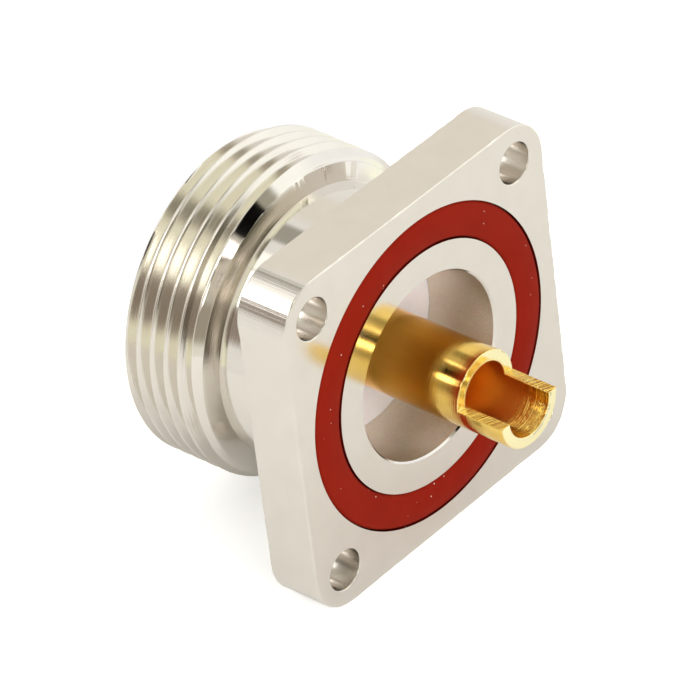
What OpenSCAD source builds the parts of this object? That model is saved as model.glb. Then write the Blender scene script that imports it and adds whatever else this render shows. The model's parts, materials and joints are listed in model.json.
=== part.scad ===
// Square-flange coaxial socket with a solder cup.
//
// Frame: the origin is the centre of the flange's sealing face. The mating
// end points along -Y, the solder cup along +Y, and +Z is up.
// Turned profiles are drawn as [radius, s], where s is the distance from the
// sealing face towards the mating end, so the solder cup has negative s.

/* [Flange] */
// Width and height of the square flange
flange_w = 32.4; // [31.6:0.1:36]
// Thickness of the flange
flange_t = 5; // [4:0.1:7]
// Radius of the four flange corners
flange_corner_r = 4; // [2:0.1:5]

/* [Mounting holes] */
// Distance of each hole's centre from the two nearest edges of the flange
hole_inset = 3.5; // [3.2:0.05:4]
// Diameter of the mounting holes
hole_d = 3.65; // [3:0.05:4]
// Edge break at both ends of each hole
hole_chamfer = 0.12; // [0.05:0.01:0.3]

/* [Barrel] */
// Distance from the sealing face to the front rim
barrel_len = 20.7; // [19.8:0.1:24]
// Diameter of the plain neck behind the thread
neck_d = 24; // [22:0.1:25]
// Distance from the sealing face to the end of the neck
neck_end = 12.3; // [10:0.1:12.6]
// Length of the shallow cone from the neck to the chamfer
shoulder_cone_len = 0.5; // [0.2:0.05:1]
// Diameter at the sharp edge between that cone and the chamfer
shoulder_d = 27; // [26:0.1:27.8]

/* [Coupling thread] */
// Outside diameter of the thread
thread_d = 29; // [28:0.1:30]
// Pitch of the thread
thread_pitch = 1.5; // [1:0.25:2]
// Distance from the shoulder cone to the first crest
first_crest_gap = 0.5; // [0.2:0.05:1.2]
// Edge break at the front of the thread
rim_chamfer = 0.3; // [0.1:0.05:0.6]

/* [Bores] */
// Diameter of the open recess behind the insulator
recess_d = 16.55; // [16.3:0.05:17.2]
// Depth of the recess, down to the insulator
recess_depth = 7.1; // [5:0.1:8]
// Edge break at the mouth of the recess
recess_chamfer = 0.15; // [0.05:0.01:0.3]
// Diameter of the land that the insulator seats on
land_d = 16; // [15:0.1:16.2]
// Length of the land
land_len = 0.9; // [0.5:0.1:2]
// Diameter of the mating bore
mating_bore_d = 18.2; // [17.4:0.1:19.5]
// Depth of the lead-in cone at the front rim
lead_in = 1.6; // [0.6:0.1:2.2]

/* [Insulator] */
// Thickness of the insulator
insulator_t = 4.3; // [3.4:0.1:5.5]

/* [Centre contact] */
// Outside diameter of the contact
contact_d = 7; // [6:0.1:8]
// Distance that the solder cup stands out of the sealing face
cup_reach = 10.5; // [9:0.1:13]
// Length of the half-cut mouth of the solder cup
cup_cut_len = 4.65; // [3:0.05:6]
// Diameter of the solder cup's bore
cup_bore_d = 5; // [4:0.1:5.4]
// Depth of the solder cup's bore from its mouth
cup_bore_depth = 8.2; // [7.2:0.1:10]
// Distance from the front rim back to the tip of the socket
socket_setback = 5.4; // [3.5:0.1:6.5]
// Diameter of the socket's bore
socket_bore_d = 5; // [4:0.1:5.4]
// Depth of the socket's bore from its tip
socket_bore_depth = 7.5; // [6:0.1:8]
// Length of the slots that make the socket springy
slot_len = 5.2; // [3:0.1:5.6]
// Width of each slot
slot_w = 0.6; // [0.3:0.05:0.9]
// Height of the barb that holds the contact in the insulator
barb_h = 0.4; // [0.2:0.05:0.7]
// Length of the barb
barb_len = 1.4; // [0.8:0.1:2]

/* [Seal ring] */
// Flat left between the groove and the nearest edge of a mounting hole
groove_margin = 1.85; // [0.8:0.05:2.4]
// Width of the groove
groove_w = 3.24; // [2.4:0.02:3.5]
// Depth of the groove
groove_depth = 2.2; // [1.5:0.1:2.6]
// Height of the ring's edges above the sealing face
ring_proud = 0.05; // [0:0.01:0.4]
// Extra height of the ring's crown over its edges
ring_crown = 0.1; // [0.02:0.01:0.3]
// Gap between the ring and each wall of the groove
ring_gap = 0.06; // [0.02:0.01:0.2]
// Radius of the ring's upper edges
ring_edge_r = 0.45; // [0.1:0.05:0.8]

/* [Hidden] */
$fn = 96;

// Slip between turned pieces that are pressed together
fit_gap = 0.01;
// Overrun of a cutter past the face that it cuts
over = 1;
// Slots in the socket
slot_count = 4;
// Steps in the rounded edges and in the crown of the ring
arc_steps = 8;
// Width of the taper that breaks the contact's end edges
contact_break = 0.15;
// Angle of the drill point that ends a blind bore
drill_angle = 118;
// Turn of the socket's slots from the plane of the cup's cut
slot_turn = 45;
// Thread form: the lean of each flank, and the crest and root flats as
// shares of the pitch
flank_angle = 30;
crest_flat = 1 / 8;
root_flat = 1 / 4;

// Along the axis
insulator_front = recess_depth + insulator_t;
land_front = insulator_front + land_len;
chamfer_start = neck_end + shoulder_cone_len;
socket_tip = barrel_len - socket_setback;
barb_start = recess_depth + (insulator_t - barb_len) / 2;

// Across the flange: the holes follow its edges, and the groove the holes
hole_spacing = flange_w - 2 * hole_inset;
hole_circle_r = hole_spacing / sqrt(2);
groove_r = hole_circle_r - hole_d / 2 - groove_margin - groove_w;

// Across the axis
thread_r = thread_d / 2;
thread_depth = (1 - crest_flat - root_flat) / 2 * thread_pitch / tan(flank_angle);
root_r = thread_r - thread_depth;
contact_r = contact_d / 2;

// Turns a profile and lays it in the part's frame
module turned() {
    rotate([90, 0, 0]) rotate_extrude() children();
}

// Lays upright shapes in the part's frame, with their z along s
module along_axis() {
    rotate([90, 0, 0]) children();
}

module rounded_square(w, r) {
    square([w - 2 * r, w], center = true);
    square([w, w - 2 * r], center = true);
    for (x = [-1, 1], y = [-1, 1])
        translate([x, y] * (w / 2 - r)) circle(r);
}

// Ridges of the coupling thread, over the whole barrel
module thread_profile() {
    crest_half = crest_flat * thread_pitch / 2;
    root_half = root_flat * thread_pitch / 2;
    first_crest = chamfer_start + first_crest_gap;
    turns = ceil((barrel_len - first_crest) / thread_pitch) + 1;
    ridges = [for (k = [-1:turns]) first_crest + k * thread_pitch];
    outline = [for (s = ridges, p = [
        [root_r, s - thread_pitch / 2 + root_half],
        [thread_r, s - crest_half],
        [thread_r, s + crest_half],
        [root_r, s + thread_pitch / 2 - root_half]]) p];
    polygon(concat(
        [[0, ridges[0] - thread_pitch / 2 + root_half]],
        outline,
        [[0, ridges[len(ridges) - 1] + thread_pitch / 2 - root_half]]));
}

// Space that the turned barrel may fill: the neck, the shallow cone, the
// chamfer behind the thread and the edge break at the rim
module barrel_envelope() {
    outer = thread_r + over;
    polygon([
        [0, flange_t / 2],
        [neck_d / 2, flange_t / 2],
        [neck_d / 2, neck_end],
        [shoulder_d / 2, chamfer_start],
        [outer, chamfer_start + outer - shoulder_d / 2],
        [outer, barrel_len - rim_chamfer - over],
        [thread_r - rim_chamfer, barrel_len],
        [0, barrel_len]]);
}

// The neck and shoulder are plain, and the thread starts ahead of them
module barrel_blank() {
    intersection() {
        barrel_envelope();
        union() {
            thread_profile();
            square([root_r, barrel_len]);
        }
    }
}

// The through bore: recess, insulator seat, land, mating bore and lead-in
module bore_profile() {
    recess_r = recess_d / 2;
    mating_r = mating_bore_d / 2;
    polygon([
        [0, -over],
        [recess_r + recess_chamfer + over, -over],
        [recess_r, recess_chamfer],
        [recess_r, insulator_front],
        [land_d / 2, insulator_front],
        [land_d / 2, land_front],
        [mating_r, land_front],
        [mating_r, barrel_len - lead_in],
        [mating_r + lead_in + over, barrel_len + over],
        [0, barrel_len + over]]);
}

// One mounting hole with a broken edge at each face
module mounting_hole() {
    r = hole_d / 2;
    c = hole_chamfer;
    rotate_extrude() polygon([
        [0, -over],
        [r + c + over, -over],
        [r, c],
        [r, flange_t - c],
        [r + c + over, flange_t + over],
        [0, flange_t + over]]);
}

// Flange, neck and threaded barrel, cut from one bar and plated
module connector_body() {
    color("#d9d4ca")
    difference() {
        union() {
            along_axis() linear_extrude(flange_t)
                rounded_square(flange_w, flange_corner_r);
            turned() barrel_blank();
        }
        turned() bore_profile();
        turned() translate([groove_r, -over])
            square([groove_w, groove_depth + over]);
        for (x = [-1, 1], y = [-1, 1])
            along_axis() translate([x, y] * hole_spacing / 2) mounting_hole();
    }
}

// PTFE disc, pressed against the land, with a groove for the barb
module insulator() {
    bore_r = contact_r + fit_gap;
    barb_r = bore_r + barb_h;
    color("#f3eeee")
    turned() polygon([
        [bore_r, recess_depth],
        [recess_d / 2 - fit_gap, recess_depth],
        [recess_d / 2 - fit_gap, insulator_front],
        [bore_r, insulator_front],
        [bore_r, barb_start + barb_len + fit_gap],
        [barb_r, barb_start + fit_gap],
        [barb_r, barb_start - fit_gap],
        [bore_r, barb_start - fit_gap]]);
}

// Outside of the contact, with broken end edges and the barb
module contact_outline() {
    e = contact_break;
    polygon([
        [0, -cup_reach],
        [contact_r - e, -cup_reach],
        [contact_r, e - cup_reach],
        [contact_r, barb_start],
        [contact_r + barb_h, barb_start],
        [contact_r, barb_start + barb_len],
        [contact_r, socket_tip - 2 * e],
        [contact_r - 2 * e, socket_tip],
        [0, socket_tip]]);
}

// A drilled blind bore with a conical point, its mouth at the origin
module blind_bore(d, depth) {
    point = d / 2 / tan(drill_angle / 2);
    rotate_extrude() polygon([
        [0, -over],
        [d / 2, -over],
        [d / 2, depth],
        [0, depth + point]]);
}

// One turned contact: a half-cut solder cup behind, a slotted socket in front
module centre_contact() {
    color("#d8a43a")
    difference() {
        turned() contact_outline();
        along_axis() translate([0, 0, -cup_reach])
            blind_bore(cup_bore_d, cup_bore_depth);
        along_axis() translate([0, 0, socket_tip]) mirror([0, 0, 1])
            blind_bore(socket_bore_d, socket_bore_depth);
        // the mouth of the cup is milled away down to the axis, on top
        along_axis() translate([-contact_d, 0, -cup_reach - over])
            cube([2 * contact_d, contact_d, cup_cut_len + over]);
        for (k = [0 : slot_count / 2 - 1])
            along_axis() rotate(k * 360 / slot_count + slot_turn)
                translate([-contact_d, -slot_w / 2, socket_tip - slot_len])
                    cube([2 * contact_d, slot_w, slot_len + over]);
    }
}

// Section of the seal ring: flat below, with round upper edges and a crown
module ring_section() {
    w = groove_w - 2 * ring_gap;
    r = min(ring_edge_r, w / 2 - ring_gap);
    crown_w = w - 2 * r;
    function edge(x, a) = [x + r * cos(a), r - ring_proud - r * sin(a)];
    right_edge = [for (k = [0 : arc_steps]) edge(w - r, k * 90 / arc_steps)];
    left_edge = [for (k = [0 : arc_steps]) edge(r, 90 + k * 90 / arc_steps)];
    crown = [for (k = [1 : arc_steps - 1]) let (t = 2 * k / arc_steps - 1)
        [w / 2 - t * crown_w / 2, -ring_proud - ring_crown * (1 - t * t)]];
    translate([groove_r + ring_gap, 0])
        polygon(concat([[0, groove_depth], [w, groove_depth]],
            right_edge, crown, left_edge));
}

// Red silicone ring that seals the flange to a panel
module seal_ring() {
    color("#9c1f12")
    turned() ring_section();
}

connector_body();
insulator();
centre_contact();
seal_ring();
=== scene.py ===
# %% [markdown]
# # A square-flange coaxial socket, as a lesson in turned and plated metal
#
# The object is four pieces: a plated brass body, a white PTFE disc, a
# gold-plated contact and a red silicone seal ring. Almost every surface on it
# was made on a lathe, so almost every surface here is a profile carried round
# an axis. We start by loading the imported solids. They fix every size and
# place, and the rest of the script dresses them.

# %% Load the frame
import json
import math

import bmesh
import bpy
import numpy as np
from mathutils import Matrix, Vector, geometry

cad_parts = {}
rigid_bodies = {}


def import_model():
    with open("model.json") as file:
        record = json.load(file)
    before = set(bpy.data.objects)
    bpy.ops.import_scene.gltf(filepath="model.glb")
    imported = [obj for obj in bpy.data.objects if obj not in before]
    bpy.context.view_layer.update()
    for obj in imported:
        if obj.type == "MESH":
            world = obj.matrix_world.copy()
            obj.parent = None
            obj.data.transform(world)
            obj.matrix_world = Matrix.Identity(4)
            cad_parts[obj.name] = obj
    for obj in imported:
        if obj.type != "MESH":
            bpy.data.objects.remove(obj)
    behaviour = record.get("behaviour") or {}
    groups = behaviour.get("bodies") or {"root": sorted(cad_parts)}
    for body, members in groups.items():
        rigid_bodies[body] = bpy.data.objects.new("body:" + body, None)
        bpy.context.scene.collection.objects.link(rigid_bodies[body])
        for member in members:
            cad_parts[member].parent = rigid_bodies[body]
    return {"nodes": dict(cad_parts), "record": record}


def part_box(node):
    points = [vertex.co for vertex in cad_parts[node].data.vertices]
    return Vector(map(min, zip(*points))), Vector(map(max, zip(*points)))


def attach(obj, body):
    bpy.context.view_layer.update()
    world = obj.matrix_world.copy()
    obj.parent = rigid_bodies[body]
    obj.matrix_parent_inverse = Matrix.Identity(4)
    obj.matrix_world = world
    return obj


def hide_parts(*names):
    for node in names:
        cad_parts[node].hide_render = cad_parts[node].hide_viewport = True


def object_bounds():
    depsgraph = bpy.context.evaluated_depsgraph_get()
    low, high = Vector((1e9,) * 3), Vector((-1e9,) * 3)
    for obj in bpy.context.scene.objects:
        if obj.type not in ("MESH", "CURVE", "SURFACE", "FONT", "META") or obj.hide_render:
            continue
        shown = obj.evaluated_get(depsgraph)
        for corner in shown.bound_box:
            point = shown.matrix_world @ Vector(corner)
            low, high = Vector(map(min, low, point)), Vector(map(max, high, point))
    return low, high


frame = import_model()
cad_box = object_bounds()
MM = 0.001
UM = 0.001 * MM
TURN = 2 * math.pi
print("nodes:", sorted(frame["nodes"]))

# %% [markdown]
# ## Reading sizes from the solids
#
# The axis of the lathe is Y. A turned solid is easiest to measure in two
# numbers per point: its distance from the axis, and its place along it. We
# write the second as s, the distance from the sealing face towards the mating
# end, so s is minus Y. Outer sizes come from each node's box and mount sizes
# from the record. The sizes between them are named below, as the solids have
# them. The edge break and the fillet at the neck are this script's own.

# %% Measure the solids
mounts = {m["name"]: m["dims"] for m in frame["record"]["mounts"]}
body_low, body_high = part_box("connector_body")
contact_low, contact_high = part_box("centre_contact")
ring_low, ring_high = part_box("seal_ring")
disc_low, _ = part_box("insulator")

HALF_FLANGE = body_high.x
BARREL_LEN = -body_low.y
HOLE_SPACING = mounts["flange_holes"]["spacing_x_mm"] * MM
HOLE_R = mounts["flange_holes"]["hole_r_mm"] * MM
CUP_REACH = contact_high.y
SOCKET_TIP = -contact_low.y
BARB_R = contact_high.x
CUP_BORE_R = mounts["solder_cup"]["r_mm"] * MM
CUP_BORE_LEN = mounts["solder_cup"]["length_mm"] * MM
SOCKET_R = mounts["contact_socket"]["r_mm"] * MM
SOCKET_LEN = mounts["contact_socket"]["length_mm"] * MM
DISC_FRONT = -disc_low.y
GROOVE_DEPTH = -ring_low.y

FLANGE_T = 5.0 * MM
CORNER_R = 4.0 * MM
EDGE_BREAK = 0.12 * MM
RING_GAP = 0.06 * MM
GROOVE_OUT_R = ring_high.x + RING_GAP
GROOVE_IN_R = GROOVE_OUT_R - 3.24 * MM
NECK_FILLET = 0.25 * MM
NECK_R = 12.0 * MM
NECK_END = 12.3 * MM
SHOULDER_R = 13.5 * MM
CHAMFER_START = 12.8 * MM
THREAD_R = 14.5 * MM
PITCH = 1.5 * MM
FIRST_CREST = 13.3 * MM
RIM_BREAK = 0.3 * MM
RECESS_R = 8.275 * MM
LAND_R = 8.0 * MM
LAND_LEN = 0.9 * MM
MATING_R = 9.1 * MM
LEAD_IN = 1.6 * MM
CONTACT_R = 3.5 * MM
CUP_CUT = 4.65 * MM
SLOT_LEN = 5.2 * MM
SLOT_W = 0.6 * MM
BARB_START = 8.55 * MM
BARB_LEN = 1.4 * MM
print("barrel", round(BARREL_LEN / MM, 2), "mm, cup", round(CUP_REACH / MM, 2), "mm")

# %% [markdown]
# ## Grids, circles and merged seams
#
# A lathe makes a surface from one curve. With numpy the whole surface is one
# array: profile points down the rows, angles along the columns. Each quad
# joins two neighbouring rows and two neighbouring columns. We build every
# surface with its last column lying on its first and then merge the doubles,
# which closes the seam whatever the surface does on the way round.

# %% Mesh helpers
SATIN, SIDES, TURNED, THREADED, SHOULDER, RECESS, DRILLED = range(7)
COLUMNS = 384
SAME_PLACE = 0.0002 * MM
ROUND = TURN * np.arange(COLUMNS + 1) / COLUMNS


def grid_faces(rows, columns):
    """Quads of a rows by columns grid: each joins a vertex, its neighbour and the two below them."""
    i, j = np.meshgrid(np.arange(rows - 1), np.arange(columns - 1), indexing="ij")
    here = i * columns + j
    return np.stack([here, here + 1, here + columns + 1, here + columns], -1).reshape(-1, 4)


def on_axis(radius, s, angle):
    """Point at a radius and an angle round the axis: x is radius times cosine, z times sine, y is -s."""
    radius, s, angle = np.broadcast_arrays(radius, s, angle)
    return np.stack([radius * np.cos(angle), -s, radius * np.sin(angle)], -1)


def turned(profile, angle=ROUND):
    """A profile of (radius, s) points carried round the axis, one row of vertices for each point."""
    radius, s = np.array(profile).T[:, :, None]
    return on_axis(radius, s, angle).reshape(-1, 3), grid_faces(len(profile), len(angle))


def to_object(name, parts, sharp_deg=35.0, flat_slot=None):
    """One mesh from (points, faces, material numbers) parts.

    Doubles are merged and creases are kept. The faces of flat_slot are shaded flat, the others smooth.
    """
    points, faces, slots, start = [], [], [], 0
    for part_points, part_faces, slot in parts:
        points.append(part_points)
        faces += (np.asarray(part_faces) + start).tolist()
        slots += np.broadcast_to(slot, len(part_faces)).tolist()
        start += len(part_points)
    mesh = bpy.data.meshes.new(name)
    mesh.from_pydata(np.concatenate(points), [], faces)
    mesh.polygons.foreach_set("material_index", np.array(slots, dtype=np.int32))
    bm = bmesh.new()
    bm.from_mesh(mesh)
    bmesh.ops.remove_doubles(bm, verts=bm.verts, dist=SAME_PLACE)
    bmesh.ops.dissolve_degenerate(bm, edges=bm.edges, dist=SAME_PLACE)
    bmesh.ops.recalc_face_normals(bm, faces=bm.faces)
    open_edges = sum(not edge.is_manifold for edge in bm.edges)
    bm.to_mesh(mesh)
    bm.free()
    mesh.shade_smooth()
    mesh.set_sharp_from_angle(angle=math.radians(sharp_deg))
    if flat_slot is not None:
        kept_slots = np.empty(len(mesh.polygons), dtype=np.int32)
        mesh.polygons.foreach_get("material_index", kept_slots)
        mesh.polygons.foreach_set("use_smooth", kept_slots != flat_slot)
    made = bpy.data.objects.new(name, mesh)
    bpy.context.scene.collection.objects.link(made)
    print(name, len(mesh.polygons), "faces,", open_edges, "open edges")
    return made


print(COLUMNS, "columns round the axis")

# %% [markdown]
# ## The coupling thread
#
# The real thread is a helix, cut by a tool that moves one pitch along the
# barrel for each turn. The solid stands in for it with a row of closed rings
# that have flats. Here it is a true helix, a little deeper, with a narrow
# crest and a round root. So the rows of the thread's grid lean: each climbs
# by one pitch on its way round, and the end of one row meets the start of
# the row a pitch ahead. Where a row leaves the barrel it is held at the
# barrel's end. The radius is the tooth's height there, but never more than
# the blank that the thread was cut into, which gives the run-out at both
# ends.

# %% Thread
CREST_HALF = PITCH / 20
FLANK_ANGLE = math.radians(30)
FLANK_SLOPE = 1 / math.tan(FLANK_ANGLE)
THREAD_DEPTH = 0.6667 * PITCH
THREAD_PHASE = math.radians(45)
CREST_SOFT = 0.016 * MM
ROOT_SOFT = 0.05 * MM


def soft_min(a, b, width):
    """The smaller of two values, rounded where they meet.

    It is half of: their sum, less the root of their difference squared plus the width squared.
    """
    return (a + b - np.sqrt((a - b) ** 2 + width ** 2)) / 2


def thread_radius(s, angle):
    """Root radius plus tooth height, which falls along the flank from the crest flat to a round root."""
    along = (s - FIRST_CREST - PITCH * (angle - THREAD_PHASE) / TURN) / PITCH
    from_crest = np.abs(along - np.round(along)) * PITCH
    height = THREAD_DEPTH - (from_crest - CREST_HALF) * FLANK_SLOPE
    held = -soft_min(-height, 0 * height, ROOT_SOFT)
    return THREAD_R - THREAD_DEPTH + soft_min(held, THREAD_DEPTH + 0 * held, CREST_SOFT)


def blank_radius(s):
    """The turned blank: a 45 degree chamfer up from the shoulder, and an edge break at the rim."""
    return np.minimum(SHOULDER_R + s - CHAMFER_START, THREAD_R - RIM_BREAK + BARREL_LEN - s)


def thread_rows():
    """Places of the rows along one pitch, closer together round the crest and the root."""
    shares = [0, 0.5, 0.85, 1, 1.15, 1.4, 2, 3.5, 5, 6.5, 7.6, 8.2, 8.5, 8.7, 8.9, 9.3, 10]
    half = np.array(shares) * CREST_HALF
    one = np.concatenate([half, PITCH - half[-2:0:-1]])
    first = CHAMFER_START - PITCH - (CHAMFER_START - FIRST_CREST) % PITCH
    count = math.ceil((BARREL_LEN - first) / PITCH) + 1
    return (first + PITCH * np.arange(count)[:, None] + one).ravel()


def barrel_grid():
    """The neck, the leaning thread rows, the rim and the bore as one grid, with the finish of each quad."""
    lean = PITCH * (ROUND - THREAD_PHASE) / TURN
    thread_s = np.clip(thread_rows()[:, None] + lean, CHAMFER_START, BARREL_LEN)
    thread_r = np.minimum(thread_radius(thread_s, ROUND), blank_radius(thread_s))
    before = [(NECK_R + NECK_FILLET * (1 - math.sin(a)), FLANGE_T + NECK_FILLET * (1 - math.cos(a)))
              for a in np.linspace(0, math.pi / 2, 5)]
    before += [(NECK_R, NECK_END), (SHOULDER_R, CHAMFER_START)]
    bore_r = MATING_R + LEAD_IN
    after = [(bore_r, BARREL_LEN), (MATING_R, BARREL_LEN - LEAD_IN), (MATING_R, DISC_FRONT + LAND_LEN),
             (LAND_R, DISC_FRONT + LAND_LEN), (LAND_R, DISC_FRONT), (RECESS_R, DISC_FRONT)]
    all_round = np.ones_like(ROUND)
    before_r, before_s = np.array(before).T[:, :, None] * all_round
    after_r, after_s = np.array(after).T[:, :, None] * all_round
    radius = np.concatenate([before_r, thread_r, after_r])
    s = np.concatenate([before_s, thread_s, after_s])
    finish = np.full(radius.shape, TURNED)
    finish[len(before) - 2] = SHOULDER
    finish[len(before):len(before) + len(thread_s)][thread_r < blank_radius(thread_s)] = THREADED
    faces = grid_faces(*radius.shape)
    return on_axis(radius, s, ROUND).reshape(-1, 3), faces, finish.ravel()[faces[:, 0]]


barrel_points, barrel_faces, barrel_finish = barrel_grid()
print("thread depth", round(THREAD_DEPTH / MM, 3), "mm,", len(barrel_faces), "quads in the barrel")

# %% [markdown]
# ## The flange
#
# The flange was sawn from bar and milled, so it is flat faces between a few
# loops: a rounded square outside, four drilled holes, a turned groove and
# the mouth of the recess. The walls are grids again. Each flat face is
# filled between the loops that the walls leave, with a Delaunay
# triangulation, which takes exactly those points and so leaves no gap. The
# outline and the holes get a small quarter round, because tumbling before
# plating takes the sharpness off, and that thin bright line is what makes
# metal look like metal. Along the outline it is wider in places, where
# smoothed noise says that the edge was knocked.

# %% Flange
CORNER_STEPS = 16
SIDE_STEPS = 72
HOLE_BREAK = 0.12 * MM
BREAK_STEPS = 4


def rounded_square(inset):
    """Closed loop of (x, z), with each point moved in by its inset.

    It has quarter circles at the corners and even steps along the straight sides.
    """
    reach = HALF_FLANGE - CORNER_R
    angle = np.append(np.linspace(0, math.pi / 2, CORNER_STEPS + 1), np.full(SIDE_STEPS - 1, math.pi / 2))
    slide = np.append(np.zeros(CORNER_STEPS + 1), np.arange(1, SIDE_STEPS) * 2 * reach / SIDE_STEPS)
    radius = CORNER_R - inset.reshape(4, -1)
    x, z = reach - slide + radius * np.cos(angle), reach + radius * np.sin(angle)
    quarter = np.arange(4)[:, None] * math.pi / 2
    loop = np.stack([x * np.cos(quarter) - z * np.sin(quarter),
                     x * np.sin(quarter) + z * np.cos(quarter)], -1)
    return np.append(loop.reshape(-1, 2), loop[0, :1], axis=0).T


def worn(width, seed):
    """A break width for each point: a base width, and more of it where smoothed noise is above zero."""
    noise = np.random.default_rng(seed).normal(size=4 * (CORNER_STEPS + SIDE_STEPS))
    smooth = noise + np.roll(noise, 1) + 0.6 * np.roll(noise, 2)
    return width * (0.8 + 0.35 * np.clip(smooth, 0, 3))


FRONT_BREAK = worn(EDGE_BREAK, seed=3)
BACK_BREAK = worn(EDGE_BREAK, seed=8)


def broken_wall(width):
    """(inset, s) from face to face of the flange: a quarter round, the straight wall and a quarter round."""
    angle = np.linspace(0, math.pi / 2, BREAK_STEPS)
    inset, s = width * (1 - np.sin(angle)), width * (1 - np.cos(angle))
    return np.concatenate([inset, inset[::-1]]), np.concatenate([s, FLANGE_T - s[::-1]])


def flange_wall():
    """A worn quarter round at each face of the flange, with the straight wall between them."""
    angle = np.linspace(0, math.pi / 2, BREAK_STEPS)[:, None]
    inset = np.concatenate([FRONT_BREAK * (1 - np.sin(angle)), BACK_BREAK * (1 - np.sin(angle[::-1]))])
    s = np.concatenate([FRONT_BREAK * (1 - np.cos(angle)), FLANGE_T - BACK_BREAK * (1 - np.cos(angle[::-1]))])
    loops = [np.stack([x, -np.append(row_s, row_s[0]), z], -1)
             for row_inset, row_s in zip(inset, s) for x, z in [rounded_square(row_inset)]]
    return np.concatenate(loops), grid_faces(len(loops), len(loops[0]))


HOLE_ANGLE = TURN * np.arange(97) / 96


def hole_wall(centre_x, centre_z):
    """A drilled hole: its radius grows by the inset of the broken wall at each face."""
    inset, s = broken_wall(HOLE_BREAK)
    points, faces = turned(np.stack([HOLE_R + inset, s], -1), HOLE_ANGLE)
    return points + (centre_x, 0, centre_z), faces


def circle(radius, angle=ROUND, centre=(0.0, 0.0)):
    """Closed loop of (x, z) at a radius round a centre."""
    return centre[0] + radius * np.cos(angle), centre[1] + radius * np.sin(angle)


def flat_face(outer, openings, s):
    """Triangles in the plane at s, inside the outer loop and outside each (centre, radius, angles)."""
    loops = [outer] + [circle(radius, angle, centre) for centre, radius, angle in openings]
    points, edges = [], []
    for x, z in loops:
        first, count = len(points), len(x) - 1
        points += [Vector(p) for p in zip(x[:-1] / MM, z[:-1] / MM)]
        edges += [(first + i, first + (i + 1) % count) for i in range(count)]
    made = geometry.delaunay_2d_cdt(points, edges, [], 1, 1e-7)
    flat, faces = np.array([tuple(p) for p in made[0]]) * MM, np.array(made[2])
    middle = flat[faces].mean(axis=1)
    solid = np.ones(len(faces), bool)
    for centre, radius, _ in openings:
        solid &= np.hypot(*(middle - centre).T) > radius
    return np.stack([flat[:, 0], 0 * flat[:, 0] - s, flat[:, 1]], -1), faces[solid]


HALF_SPACING = HOLE_SPACING / 2
NECK_ROOT_R = NECK_R + NECK_FILLET
MOUTH_BREAK = 0.15 * MM
hole_centres = [(x, z) for x in (-HALF_SPACING, HALF_SPACING) for z in (-HALF_SPACING, HALF_SPACING)]
hole_rims = [(centre, HOLE_R + HOLE_BREAK, HOLE_ANGLE) for centre in hole_centres]
print(len(hole_centres), "holes,", round(HOLE_SPACING / MM, 2), "mm apart")

# %% [markdown]
# ## The body in one mesh
#
# Now the parts become one closed mesh, and each brings the number of its
# finish. The mouth of the recess has a 45 degree break, which keeps a crisp
# line. The flat faces are shaded flat, because their long thin triangles
# would smear the light if they took their neighbours' slope.

# %% Body
groove = [(GROOVE_OUT_R, 0), (GROOVE_OUT_R, GROOVE_DEPTH), (GROOVE_IN_R, GROOVE_DEPTH), (GROOVE_IN_R, 0)]
recess = [(RECESS_R, DISC_FRONT), (RECESS_R, MOUTH_BREAK), (RECESS_R + MOUTH_BREAK, 0)]
body_parts = [
    (barrel_points, barrel_faces, barrel_finish),
    (*turned(recess), np.repeat([RECESS, TURNED], COLUMNS)),
    (*turned(groove), SATIN),
    (*flange_wall(), SIDES),
    (*flat_face(rounded_square(FRONT_BREAK), [*hole_rims, ((0, 0), GROOVE_OUT_R, ROUND)], 0), SATIN),
    (*flat_face(circle(GROOVE_IN_R), [((0, 0), RECESS_R + MOUTH_BREAK, ROUND)], 0), SATIN),
    (*flat_face(rounded_square(BACK_BREAK), [*hole_rims, ((0, 0), NECK_ROOT_R, ROUND)], FLANGE_T), SATIN),
]
body_parts += [(*hole_wall(*centre), DRILLED) for centre in hole_centres]

body = to_object("turned_body", body_parts, flat_slot=SATIN)
flat_normals = body.modifiers.new("flat faces stay flat", "WEIGHTED_NORMAL")
flat_normals.keep_sharp = True
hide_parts("connector_body")
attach(body, "root")

# %% [markdown]
# ## The contact
#
# The contact is one turned pin, drilled from both ends. Its cup is then
# milled in half, and its socket is slit four times so that it can spring.
# Both cuts are flat walls in a round piece. We keep the lathe's grid and let
# each column decide how far along the axis its end goes: a column over the
# cup's cut stops short, and so does a column in a slit. Where the answer
# changes, the column is there twice, and the quad between the two copies is
# the flat wall of the cut.

# %% Contact
SECTORS = 4
HALF_STEPS = 22
SLIT_STEPS = 5
CONTACT_BREAK = 0.15 * MM
DRILL_ANGLE = math.radians(118)
DRILL_POINT = CUP_BORE_R / math.tan(DRILL_ANGLE / 2)


def contact_columns():
    """For each column: its base angle, the share of the slit's half angle that shifts it, and two flags.

    The flags say whether the column is in a slit and whether it is over the cup's cut.
    """
    base, shift, in_slit, over_cut = [], [], [], []
    step = TURN / SECTORS
    for sector in range(SECTORS):
        for side in (-1, 1):
            share = np.linspace(0, 1, HALF_STEPS) if side > 0 else np.linspace(-1, 0, HALF_STEPS)
            middle = sector * step
            base.append(middle + share * step / 2)
            shift.append(-share)
            in_slit.append(np.zeros(HALF_STEPS, bool))
            over_cut.append(np.full(HALF_STEPS, math.sin(middle + side * step / 4) > 0))
        base.append(np.full(SLIT_STEPS, (sector + 0.5) * step))
        shift.append(np.linspace(-1, 1, SLIT_STEPS))
        in_slit.append(np.ones(SLIT_STEPS, bool))
        over_cut.append(np.full(SLIT_STEPS, math.sin((sector + 0.5) * step) > 0))
    columns = [np.concatenate(part) for part in (base, shift, in_slit, over_cut)]
    columns[0] = np.append(columns[0], columns[0][0] + TURN)
    return [columns[0]] + [np.append(part, part[0]) for part in columns[1:]]


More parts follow.
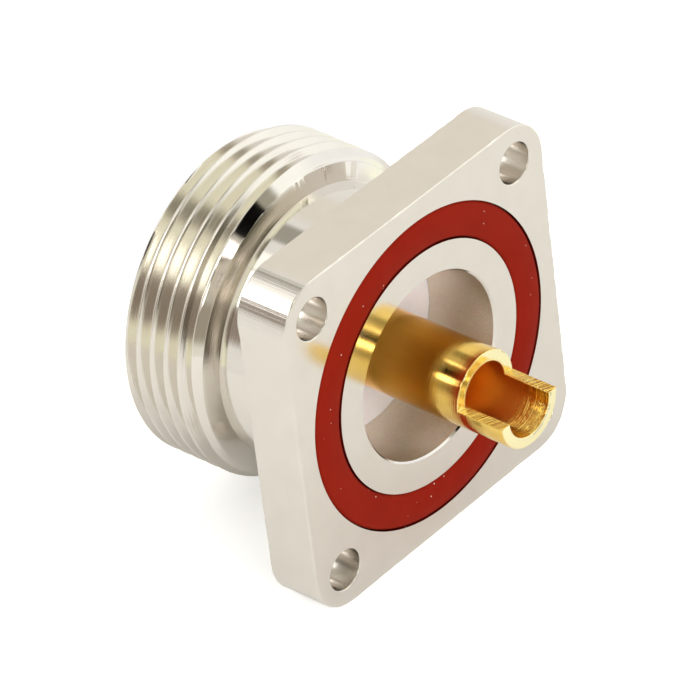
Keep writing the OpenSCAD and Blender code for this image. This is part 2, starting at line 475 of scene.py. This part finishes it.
def contact_grid():
    """The closed profile of the pin's wall, each column held back from the cut and from the slits."""
    e = CONTACT_BREAK
    cup_floor, cut_end = CUP_BORE_LEN - CUP_REACH, CUP_CUT - CUP_REACH
    socket_floor, slit_end = SOCKET_TIP - SOCKET_LEN, SOCKET_TIP - SLOT_LEN
    profile = np.array([
        (0, cup_floor + DRILL_POINT), (CUP_BORE_R, cup_floor),
        (CUP_BORE_R, cut_end), (CUP_BORE_R, -CUP_REACH),
        (CONTACT_R - e, -CUP_REACH), (CONTACT_R - 0.3 * e, 0.3 * e - CUP_REACH),
        (CONTACT_R, e - CUP_REACH), (CONTACT_R, cut_end),
        (CONTACT_R, BARB_START), (BARB_R, BARB_START), (CONTACT_R, BARB_START + BARB_LEN),
        (CONTACT_R, slit_end), (CONTACT_R, SOCKET_TIP - 2 * e), (CONTACT_R - 2 * e, SOCKET_TIP),
        (SOCKET_R, SOCKET_TIP), (SOCKET_R, slit_end),
        (SOCKET_R, socket_floor), (0, socket_floor - DRILL_POINT)])
    base, shift, in_slit, over_cut = contact_columns()
    radius = profile[:, :1]
    slit_half = np.arcsin(SLOT_W / 2 / np.maximum(radius, SOCKET_R))
    angle = base + shift * slit_half
    s = profile[:, 1:] + 0 * angle
    s = np.where(over_cut, np.maximum(s, cut_end), s)
    s = np.where(in_slit, np.minimum(s, slit_end), s)
    return on_axis(radius, s, angle).reshape(-1, 3), grid_faces(*s.shape)


contact = to_object("gold_contact", [(*contact_grid(), 0)], sharp_deg=40)
break_edges = contact.modifiers.new("broken edges", "BEVEL")
break_edges.width = 0.05 * MM
break_edges.segments = 2
break_edges.angle_limit = math.radians(50)
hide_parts("centre_contact")
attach(contact, "root")

# %% [markdown]
# ## The seal ring
#
# The ring is moulded silicone with a flat back and round upper edges. It lies
# a hair above the face, so that it is squeezed first when the flange is
# screwed down. Its section is a run of arcs, and a slow, shallow wave round
# the ring gives the uneven lie that soft rubber has in its groove.

# %% Seal ring
RING_EDGE_R = 0.45 * MM
RING_PROUD = 0.05 * MM
RING_CROWN = 0.1 * MM
RING_WAVE = 0.012 * MM


def ring_grid():
    """Flat back, two quarter rounds and a parabolic crown between them.

    The upper edge rises and falls by the sum of two sines of the angle.
    """
    inner, outer = GROOVE_IN_R + RING_GAP, GROOVE_OUT_R - RING_GAP
    arc = np.linspace(0, math.pi / 2, 9)
    across = np.linspace(-1, 1, 15)[1:-1]
    middle, half = (inner + outer) / 2, (outer - inner) / 2 - RING_EDGE_R
    top = RING_EDGE_R - RING_PROUD
    radius = np.concatenate([[outer], outer - RING_EDGE_R * (1 - np.cos(arc)), middle - half * across,
                             inner + RING_EDGE_R * (1 - np.sin(arc)), [inner, outer]])
    s = np.concatenate([[GROOVE_DEPTH], top - RING_EDGE_R * np.sin(arc),
                        -RING_PROUD - RING_CROWN * (1 - across ** 2), top - RING_EDGE_R * np.cos(arc),
                        [GROOVE_DEPTH, GROOVE_DEPTH]])
    wave = RING_WAVE * (np.sin(5 * ROUND + 1) + np.sin(11 * ROUND))
    lifted = np.clip(1 - s / top, 0, 1)[:, None]
    return on_axis(radius[:, None], s[:, None] + lifted * wave, ROUND).reshape(-1, 3), \
        grid_faces(len(radius), len(ROUND))


seal = to_object("rubber_ring", [(*ring_grid(), 0)], sharp_deg=50)
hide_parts("seal_ring")
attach(seal, "root")

# %% [markdown]
# ## Materials: one way to add a node
#
# Each finish below starts from what the real one is. Patterns are read in
# object coordinates, which are metres, so a pattern's scale is one over the
# size of its feature. For turned surfaces we read the pattern in lathe
# coordinates, distance from the axis and place along it. The pattern is then
# the same all the way round, as a tool's marks are.

# %% Material helpers


def rgba(code):
    """An sRGB hex colour as linear red, green, blue and alpha, by the sRGB curve."""
    levels = [int(code[i:i + 2], 16) / 255 for i in (1, 3, 5)]
    return tuple(c / 12.92 if c <= 0.04045 else ((c + 0.055) / 1.055) ** 2.4 for c in levels) + (1.0,)


def add(tree, kind, inputs=(), **settings):
    """A node with its settings. inputs maps a socket to a value, or to the socket that feeds it."""
    made = tree.nodes.new("ShaderNode" + kind)
    for name, value in settings.items():
        setattr(made, name, value)
    for socket, value in dict(inputs).items():
        if isinstance(value, bpy.types.NodeSocket):
            tree.links.new(value, made.inputs[socket])
        else:
            made.inputs[socket].default_value = value
    return made


def per(size_mm):
    """Pattern scale whose features measure a size in millimetres."""
    return 1 / (size_mm * MM)


def start_material(name, **sockets):
    """A material with one Principled shader. Returns it with its tree, the shader and object coordinates."""
    material = bpy.data.materials.new(name)
    material.use_nodes = True
    tree = material.node_tree
    shader = tree.nodes["Principled BSDF"]
    for socket, value in sockets.items():
        shader.inputs[socket.replace("_", " ")].default_value = value
    return material, tree, shader, add(tree, "TexCoord").outputs["Object"]


def lathe_coordinates(tree, place):
    """Distance from the axis, place along it and zero, as a vector."""
    flat = add(tree, "VectorMath", {0: place, 1: (1, 0, 1)}, operation="MULTIPLY").outputs[0]
    radius = add(tree, "VectorMath", {0: flat}, operation="LENGTH").outputs["Value"]
    along_axis = add(tree, "SeparateXYZ", {0: place}).outputs["Y"]
    return add(tree, "CombineXYZ", {"X": radius, "Y": along_axis}).outputs[0]


print("#808080 in linear light:", round(rgba("#808080")[0], 3))

# %% [markdown]
# ## White bronze plate
#
# The body is brass with a white bronze plate, a warm, pale alloy that keeps
# its shine. The flange was milled and tumbled, so it is satin: it still
# mirrors what is near it, but softly. Its sides keep the streaks of the
# mill, and the barrel came straight from the lathe and keeps its rings. All
# of them follow one recipe and differ in roughness, grain and tool marks.
# Only the recess has a colour of its own, a little yellower and darker. The
# real grain is finer than the render can show, so it is drawn coarser.

# %% Plated metal
PLATE = "#E8E3DC"
PLATE_DEEP = "#DED8D0"
GRAIN_MM = 0.11
CLOUD_MM = 2.5


def plated(name, roughness, grain_um, marks_mm, marks_um, streaks=False, colour=PLATE, deep=PLATE_DEEP):
    """Plate with a fine grain and tool marks, which are rings round the axis or streaks along it.

    Sizes are in millimetres, and heights of the relief in micrometres.
    """
    material, tree, shader, place = start_material(name, Metallic=1.0)
    if streaks:
        lie = add(tree, "VectorMath", {0: place, 1: (1, 0, 1)}, operation="MULTIPLY").outputs[0]
    else:
        lie = lathe_coordinates(tree, place)
    grain = add(tree, "TexNoise", {"Vector": place, "Scale": per(GRAIN_MM), "Detail": 3.0}).outputs["Fac"]
    marks = add(tree, "TexNoise", {"Vector": lie, "Scale": per(marks_mm), "Detail": 2.0}).outputs["Fac"]
    cloud = add(tree, "TexNoise", {"Vector": place, "Scale": per(CLOUD_MM), "Detail": 4.0}).outputs["Fac"]
    tint = add(tree, "Mix", {"Factor": cloud, 6: rgba(colour), 7: rgba(deep)}, data_type="RGBA").outputs[2]
    tree.links.new(tint, shader.inputs["Base Color"])
    rough = add(tree, "MapRange", {"Value": grain, "From Min": 0.3, "From Max": 0.7,
                                   "To Min": roughness * 0.85, "To Max": roughness * 1.15}).outputs[0]
    tree.links.new(rough, shader.inputs["Roughness"])
    first = add(tree, "Bump", {"Height": grain, "Distance": grain_um * UM}).outputs[0]
    last = add(tree, "Bump", {"Height": marks, "Distance": marks_um * UM, "Normal": first}).outputs[0]
    tree.links.new(last, shader.inputs["Normal"])
    return material


# in the order of the numbers SATIN to DRILLED: roughness, grain height, size and height of the tool marks
finishes = [
    plated("white_bronze_satin", 0.11, 3.0, 0.5, 0.4),
    plated("white_bronze_sides", 0.16, 3.0, 0.14, 20.0, streaks=True),
    plated("white_bronze_turned", 0.07, 0.5, 0.12, 3.0),
    plated("white_bronze_threaded", 0.14, 1.5, 0.10, 5.0),
    plated("white_bronze_shoulder", 0.12, 1.0, 0.09, 9.0),
    plated("white_bronze_recess", 0.30, 3.0, 0.3, 1.0, colour="#E3D9C9", deep="#D7CBBA"),
    plated("white_bronze_drilled", 0.20, 1.0, 0.18, 6.0),
]
for finish in finishes:
    body.data.materials.append(finish)
print("plated materials on the body:", len(body.data.materials))

# %% [markdown]
# ## Gold plate
#
# Gold is the same recipe with a deeper colour. Light that bounces twice in a
# gold cup is coloured twice, which turns its inside orange. That bounce light
# is painted in, as a rougher, deeper gold on the drilled wall. Painted shade
# is a darker gold on the part that stands down in the recess, and a painted
# highlight makes the cup's end, which looks along +Y, the palest.
# Each place is a mask from 0 to 1, found from the lathe coordinates or from
# the direction that a face looks in.

# %% Gold colours
GOLD = "#F9D980"
GOLD_DEEP = "#EBC05A"
# painted bounce light: a deeper orange gold for the inside of the bore
GOLD_IN_BORE = "#EFA64C"
# painted highlight: the palest gold, on the cup's end that looks along +Y
GOLD_PAINTED_HIGHLIGHT = "#FFF6C4"
# painted shade: a darker gold on the part low in the recess
GOLD_PAINTED_SHADE = "#E8B04A"


def gold_places(tree, place):
    """Lathe coordinates, face direction, and the masks of the bore's marked mouth and of the rest of it."""
    lathe = add(tree, "SeparateXYZ", {0: lathe_coordinates(tree, place)})
    facing = add(tree, "SeparateXYZ", {0: add(tree, "NewGeometry").outputs["True Normal"]})
    inside = add(tree, "MapRange", {"Value": lathe.outputs["X"], "From Min": CUP_BORE_R + 0.1 * MM,
                                    "From Max": CUP_BORE_R + 0.3 * MM,
                                    "To Min": 1.0, "To Max": 0.0}).outputs[0]
    mouth = add(tree, "MapRange", {"Value": lathe.outputs["Y"], "From Min": CUP_REACH - 3.4 * MM,
                                   "From Max": CUP_REACH - 0.8 * MM, "To Min": 0.1}).outputs[0]
    marked = add(tree, "Math", {0: inside, 1: mouth}, operation="MULTIPLY").outputs[0]
    deep_in = add(tree, "Math", {0: inside, 1: marked}, operation="SUBTRACT").outputs[0]
    return lathe, facing, marked, deep_in


def gold_tint(tree, place, lathe, facing, deep_in):
    """Two cloudy golds, then by their masks painted bounce light in the bore, painted shade low down and a
    painted end highlight.
    """
    cloud = add(tree, "TexNoise", {"Vector": place, "Scale": per(1.5), "Detail": 4.0}).outputs["Fac"]
    # painted shade: darker gold from 3.6 mm above the sealing face down into the recess
    down = add(tree, "MapRange", {"Value": lathe.outputs["Y"], "From Min": 3.6 * MM, "From Max": 2.2 * MM,
                                  "To Max": 0.8}).outputs[0]
    # painted highlight on faces that look along +Y, mostly the cup's end
    end_highlight = add(tree, "MapRange", {"Value": facing.outputs["Y"],
                                   "From Min": 0.8, "From Max": 0.95}).outputs[0]
    tint = rgba(GOLD)
    for mask, colour in ((cloud, GOLD_DEEP), (deep_in, GOLD_IN_BORE), (down, GOLD_PAINTED_SHADE),
                         (end_highlight, GOLD_PAINTED_HIGHLIGHT)):
        tint = add(tree, "Mix", {"Factor": mask, 6: tint, 7: rgba(colour)}, data_type="RGBA").outputs[2]
    return tint


print("gold in linear light:", [round(level, 3) for level in rgba(GOLD)[:3]])

# %% [markdown]
# ## Tool marks on the gold
#
# The plate is thin and follows every groove. The lathe leaves fine rings
# outside, and deeper ones inside the cup's mouth that come and go in
# patches. The mill leaves lines across the two flats of the half cut. The
# real marks are finer than the render can show, so they are drawn coarser
# and deeper than they are.

# %% Gold and its marks
FINE_RINGS = 8 * UM
MOUTH_RINGS = 110 * UM
MILL_LINES = 200 * UM


def ring_marks(tree, place, lathe, marked):
    """Relief of noise that changes along the axis and hardly round it: fine everywhere, deep where marked."""
    slow_radius = add(tree, "Math", {0: lathe.outputs["X"], 1: 0.25}, operation="MULTIPLY").outputs[0]
    lie = add(tree, "CombineXYZ", {"X": slow_radius, "Y": lathe.outputs["Y"]}).outputs[0]
    fine = add(tree, "TexNoise", {"Vector": lie, "Scale": per(0.12), "Detail": 3.0}).outputs["Fac"]
    normal = add(tree, "Bump", {"Height": fine, "Distance": FINE_RINGS}).outputs[0]
    patch = add(tree, "TexNoise", {"Vector": place, "Scale": per(0.9), "Detail": 2.0}).outputs["Fac"]
    patch = add(tree, "MapRange", {"Value": patch, "From Min": 0.3, "From Max": 0.5,
                                   "To Min": 0.3}).outputs[0]
    rings = add(tree, "TexNoise", {"Vector": lie, "Scale": per(0.2), "Detail": 3.0}).outputs["Fac"]
    for mask in (marked, patch):
        rings = add(tree, "Math", {0: rings, 1: mask}, operation="MULTIPLY").outputs[0]
    return add(tree, "Bump", {"Height": rings, "Distance": MOUTH_RINGS, "Normal": normal}).outputs[0]


def mill_marks(tree, place, facing, normal):
    """Relief of noise along a slanting line, on faces that look up and lie at the height of the axis."""
    height = add(tree, "SeparateXYZ", {0: place}).outputs["Z"]
    height = add(tree, "Math", {0: height}, operation="ABSOLUTE").outputs[0]
    at_axis = add(tree, "MapRange", {"Value": height, "From Min": 0.02 * MM, "From Max": 0.05 * MM,
                                     "To Min": 1.0, "To Max": 0.0}).outputs[0]
    looks_up = add(tree, "MapRange", {"Value": facing.outputs["Z"],
                                      "From Min": 0.8, "From Max": 0.95}).outputs[0]
    on_cut = add(tree, "Math", {0: at_axis, 1: looks_up}, operation="MULTIPLY").outputs[0]
    slant = add(tree, "VectorMath", {0: place, 1: (0.5, 1, 0)}, operation="DOT_PRODUCT").outputs["Value"]
    lines = add(tree, "TexNoise", {"W": slant, "Scale": per(0.25), "Detail": 2.0},
                noise_dimensions="1D").outputs["Fac"]
    lines = add(tree, "Math", {0: lines, 1: on_cut}, operation="MULTIPLY").outputs[0]
    return add(tree, "Bump", {"Height": lines, "Distance": MILL_LINES, "Normal": normal}).outputs[0]


def gold_plate():
    """Gold in its colours, rougher deep in the bore, with the marks of the lathe and of the mill."""
    material, tree, shader, place = start_material("gold_plate", Metallic=1.0)
    lathe, facing, marked, deep_in = gold_places(tree, place)
    tint = gold_tint(tree, place, lathe, facing, deep_in)
    rough = add(tree, "MapRange", {"Value": deep_in, "To Min": 0.11, "To Max": 0.36}).outputs[0]
    normal = mill_marks(tree, place, facing, ring_marks(tree, place, lathe, marked))
    for socket, source in (("Base Color", tint), ("Roughness", rough), ("Normal", normal)):
        tree.links.new(source, shader.inputs[socket])
    return material


contact.data.materials.append(gold_plate())
print("contact dressed in", contact.data.materials[0].name)

# %% [markdown]
# ## Silicone and PTFE
#
# The ring is iron-oxide red silicone rubber: a satin skin that picks up a
# little dust. The disc is turned PTFE, a waxy plastic that lets light in a
# little way, so its shadows are soft. Its white has a touch of pink.

# %% Soft materials


def silicone_rubber():
    """Red rubber with a slow change of tone, fine skin texture and a few pale dust specks."""
    material, tree, shader, place = start_material("silicone_rubber", Roughness=0.5, Specular_IOR_Level=0.03)
    cloud = add(tree, "TexNoise", {"Vector": place, "Scale": per(3.0), "Detail": 5.0}).outputs["Fac"]
    tint = add(tree, "Mix", {"Factor": cloud, 6: rgba("#78160A"), 7: rgba("#871E0E")},
               data_type="RGBA").outputs[2]
    dust = add(tree, "TexVoronoi", {"Vector": place, "Scale": per(1.3)}).outputs["Distance"]
    speck = add(tree, "MapRange", {"Value": dust, "From Min": 0.03, "From Max": 0.055,
                                   "To Min": 0.8, "To Max": 0.0}).outputs[0]
    shown = add(tree, "Mix", {"Factor": speck, 6: tint, 7: rgba("#E8D9D2")}, data_type="RGBA").outputs[2]
    tree.links.new(shown, shader.inputs["Base Color"])
    skin = add(tree, "TexNoise", {"Vector": place, "Scale": per(0.12), "Detail": 3.0}).outputs["Fac"]
    bump = add(tree, "Bump", {"Height": skin, "Distance": 5 * UM}).outputs[0]
    tree.links.new(bump, shader.inputs["Normal"])
    return material


def turned_ptfe():
    """White plastic with faint turning rings on its face."""
    material, tree, shader, place = start_material("turned_ptfe", Roughness=0.4, Subsurface_Weight=0.25,
                                                   Subsurface_Scale=0.6 * MM, IOR=1.38)
    rings = add(tree, "TexNoise", {"Vector": lathe_coordinates(tree, place), "Scale": per(0.2),
                                   "Detail": 2.0}).outputs["Fac"]
    tint = add(tree, "Mix", {"Factor": rings, 6: rgba("#F3ECEE"), 7: rgba("#EBE3E6")},
               data_type="RGBA").outputs[2]
    tree.links.new(tint, shader.inputs["Base Color"])
    bump = add(tree, "Bump", {"Height": rings, "Distance": 2 * UM}).outputs[0]
    tree.links.new(bump, shader.inputs["Normal"])
    return material


seal.data.materials.append(silicone_rubber())
disc = frame["nodes"]["insulator"]
for slot in disc.material_slots:
    slot.material = turned_ptfe()
print("seal and disc dressed")

# %% [markdown]
# ## The floor
#
# The floor is a sheet of pale paper that keeps the object's shadow. Part of
# its colour is emitted towards the camera and the metal, so that it reads as
# white. Light Path tells the shader which ray is asking. The sheet is small,
# so that past its edges the metal mirrors the tent.

# %% Floor
floor_z = cad_box[0].z
FLOOR_HALF = 0.08
FLOOR_BEHIND = 0.045
GLOW_TO_CAMERA = 0.45
GLOW_TO_METAL = 0.04
floor_mesh = bpy.data.meshes.new("floor")
floor_mesh.from_pydata([(x, y, floor_z) for x, y in
                        ((-FLOOR_HALF, -FLOOR_BEHIND), (FLOOR_HALF, -FLOOR_BEHIND),
                         (FLOOR_HALF, FLOOR_HALF), (-FLOOR_HALF, FLOOR_HALF))], [], [(0, 1, 2, 3)])
floor = bpy.data.objects.new("floor", floor_mesh)
bpy.context.scene.collection.objects.link(floor)
paper, tree, shader, _ = start_material("white_paper", Base_Color=rgba("#E6E6E6"), Roughness=1.0)
shader.inputs["Specular IOR Level"].default_value = 0.0
path = add(tree, "LightPath")
mirrored = add(tree, "Math", {0: path.outputs["Is Glossy Ray"], 1: path.outputs["Is Transmission Ray"]},
               operation="MAXIMUM").outputs[0]
to_metal = add(tree, "Math", {0: mirrored, 1: GLOW_TO_METAL}, operation="MULTIPLY").outputs[0]
seen = add(tree, "Math", {0: path.outputs["Is Camera Ray"], 1: GLOW_TO_CAMERA}, operation="MULTIPLY")
to_camera = seen.outputs[0]
level = add(tree, "Math", {0: to_metal, 1: to_camera}, operation="ADD").outputs[0]
glow = add(tree, "Emission", {"Color": rgba("#FFFFFF"), "Strength": level})
total = add(tree, "AddShader", {0: shader.outputs[0], 1: glow.outputs[0]})
tree.links.new(total.outputs[0], tree.nodes["Material Output"].inputs["Surface"])
floor_mesh.materials.append(paper)
print("floor at", round(floor_z / MM, 2), "mm")

# %% [markdown]
# ## The tent
#
# Polished metal has no look of its own: it shows the room. So the room is
# made the way a product photographer makes one. It is a pale tent all round,
# with bright panels and dark cards where the metal needs a light line or a
# dark core. Directions are points on a sphere, and the dot product with a
# direction says how close a ray is to it. Each layer covers the ones before
# it where its share is 1. The camera itself sees plain white.

# %% World
world = bpy.data.worlds.new("studio tent")
bpy.context.scene.world = world
world.use_nodes = True
tree = world.node_tree
ray = add(tree, "TexCoord").outputs["Generated"]


def near(direction, inner_deg, outer_deg):
    """1 within the inner angle of a direction and 0 past the outer one, from the dot product with it."""
    unit = Vector(direction).normalized()
    close = add(tree, "VectorMath", {0: ray, 1: unit}, operation="DOT_PRODUCT").outputs["Value"]
    return add(tree, "MapRange", {"Value": close, "From Min": math.cos(math.radians(outer_deg)),
                                  "From Max": math.cos(math.radians(inner_deg))},
               interpolation_type="SMOOTHSTEP").outputs[0]


def along(first, second, inner_deg, outer_deg):
    """1 near the great circle through two directions, 0 away from it.

    The dot product with the circle's pole is the sine of the angle off the circle.
    """
    pole = Vector(first).cross(Vector(second)).normalized()
    off = add(tree, "VectorMath", {0: ray, 1: pole}, operation="DOT_PRODUCT").outputs["Value"]
    off = add(tree, "Math", {0: off}, operation="ABSOLUTE").outputs[0]
    return add(tree, "MapRange", {"Value": off, "From Min": math.sin(math.radians(outer_deg)),
                                  "From Max": math.sin(math.radians(inner_deg))},
               interpolation_type="SMOOTHSTEP").outputs[0]


tall_panel = add(tree, "Math", {0: along((0.165, 0.576, 0.80), (0.215, 0.80, 0.56), 2.5, 4),
                                1: near((0.19, 0.70, 0.69), 11, 15)}, operation="MULTIPLY").outputs[0]
dark_core = add(tree, "Math", {0: along((0.40, 0.82, 0.41), (0.53, 0.42, 0.73), 4, 8),
                               1: near((0.47, 0.64, 0.60), 14, 20)}, operation="MULTIPLY").outputs[0]
layers = [
    # a bright band that the thread's flanks pass on between them, and the walls before and behind
    (along((0.74, -0.32, 0.60), (0.39, -0.31, 0.87), 6, 11), (1.25, 1.28, 1.04, 1)),
    (near((0, 1, 0), 20, 70), (0.905, 0.896, 0.791, 1)),
    (near((0, -1, 0), 25, 45), (0.84, 0.80, 0.66, 1)),
    # two dark cards behind the mating end
    (near((0.22, -0.955, -0.20), 12, 17), (0.16, 0.135, 0.105, 1)),
    (near((-0.20, -0.93, 0.30), 9, 15), (0.14, 0.13, 0.09, 1)),
    # the tone that the flange's upper side mirrors, and two bright walls beside it
    (near((-0.573, -0.576, 0.583), 7, 18), (0.92, 0.875, 0.79, 1)),
    (near((-0.74, 0.52, 0.38), 26, 40), (1.26, 1.28, 1.22, 1)),
    (near((-0.93, 0.05, 0.25), 20, 36), (1.12, 1.14, 1.14, 1)),
    # a dark card on the +X side, then a dark card and a bright panel high on the -X side
    (near((0.88, -0.41, 0.24), 13, 20), (0.34, 0.285, 0.235, 1)),
    (near((-0.66, -0.16, 0.73), 4, 9), (0.45, 0.42, 0.34, 1)),
    (near((-0.573, 0.28, 0.77), 6, 11), (2.2, 2.2, 2.1, 1)),
    # two dark cards and a bright panel over the barrel
    (near((0.20, -0.30, 0.93), 6, 11), (0.30, 0.28, 0.21, 1)),
    (near((-0.13, -0.576, 0.80), 5, 9), (0.42, 0.41, 0.35, 1)),
    (near((0.27, -0.576, 0.77), 5, 8), (1.35, 1.35, 1.28, 1)),
    # the darker side where the camera stands: low, in the middle and high
    (near((0.70, 0.69, 0.13), 10, 16), (0.40, 0.36, 0.28, 1)),
    (near((0.45, 0.62, 0.64), 13, 28), (0.30, 0.26, 0.20, 1)),
    (near((-0.25, 0.62, 0.74), 8, 12), (0.42, 0.40, 0.32, 1)),
    # the contact's dark core, a black card for the chamfer, and two panels for the contact's bright lines
    (dark_core, (0.02, 0.016, 0.012, 1)),
    (near((-0.07, 0.75, 0.66), 8.5, 11), (0.002, 0.002, 0.002, 1)),
    (near((0.689, 0.576, 0.439), 5.5, 7.5), (6.0, 5.7, 5.3, 1)),
    (tall_panel, (3.6, 3.4, 3.3, 1)),
]
tent = (0.965, 0.950, 0.905, 1)
for share, colour in layers:
    tent = add(tree, "Mix", {"Factor": share, 6: tent, 7: colour}, data_type="RGBA").outputs[2]
camera_ray = add(tree, "LightPath").outputs["Is Camera Ray"]
shown = add(tree, "Mix", {"Factor": camera_ray, 6: tent, 7: (1, 1, 1, 1)}, data_type="RGBA").outputs[2]
tree.links.new(shown, tree.nodes["Background"].inputs["Color"])
tree.nodes["Background"].inputs["Strength"].default_value = 1.0
print("world nodes:", len(tree.nodes))

# %% [markdown]
# ## Two lamps
#
# The tent gives most of the light, but its shadows are too soft to place the
# object on the floor. A key lamp over the barrel gives them an edge. A fill
# lamp shines into the recess, on the plastic and the rubber. The metal
# doesn't mirror it, because one more bright spot would confuse its shape.

# %% Lamps
LAMP_DISTANCE = 0.5


def soft_lamp(name, way, half_deg, level):
    """A disk that fills a half angle as seen from the object.

    Its power is the level times pi squared times its radius squared.
    """
    way = Vector(way).normalized()
    radius = LAMP_DISTANCE * math.tan(math.radians(half_deg))
    data = bpy.data.lights.new(name, "AREA")
    data.shape = "DISK"
    data.size = 2 * radius
    data.energy = level * math.pi ** 2 * radius ** 2
    lamp = bpy.data.objects.new(name, data)
    lamp.location = LAMP_DISTANCE * way
    lamp.rotation_euler = way.to_track_quat("Z", "Y").to_euler()
    bpy.context.scene.collection.objects.link(lamp)
    print(name, round(data.energy, 3), "W")
    return lamp


soft_lamp("key over the barrel", (0.573, -0.576, 0.582), 12, 2.2)
fill = soft_lamp("fill into the recess", (0.38, 0.82, 0.42), 16, 7.2)
fill.visible_glossy = False

# %% [markdown]
# ## The camera
#
# A camera far away with a long lens gives the nearly parallel view of a
# product picture. Its place is an azimuth and an elevation round the middle
# of the object, and a roll about its own axis.

# %% Camera
AZIMUTH = math.radians(134.74)
ELEVATION = math.radians(36.01)
ROLL = math.radians(7.27)
DISTANCE = 521.8 * MM
LENS = 329.0
SENSOR = 36.0
AIM_OFFSET = Vector((3.523, -0.277, 1.765)) * MM
low, high = cad_box
aim = (Vector(low) + Vector(high)) / 2 + AIM_OFFSET
back = Vector((math.sin(AZIMUTH) * math.cos(ELEVATION), -math.cos(AZIMUTH) * math.cos(ELEVATION),
               math.sin(ELEVATION)))
camera_data = bpy.data.cameras.new("camera")
camera_data.lens = LENS
camera_data.sensor_width = SENSOR
camera_data.clip_start = 0.01
camera = bpy.data.objects.new("camera", camera_data)
turn = back.to_track_quat("Z", "Y").to_matrix() @ Matrix.Rotation(-ROLL, 3, "Z")
camera.matrix_world = Matrix.Translation(aim + DISTANCE * back) @ turn.to_4x4()
bpy.context.scene.collection.objects.link(camera)
bpy.context.scene.camera = camera
bpy.context.scene.view_settings.view_transform = "Standard"
bpy.context.view_layer.update()
right, up = turn.col[0], turn.col[1]
print("right", [round(v, 3) for v in right], "up", [round(v, 3) for v in up])
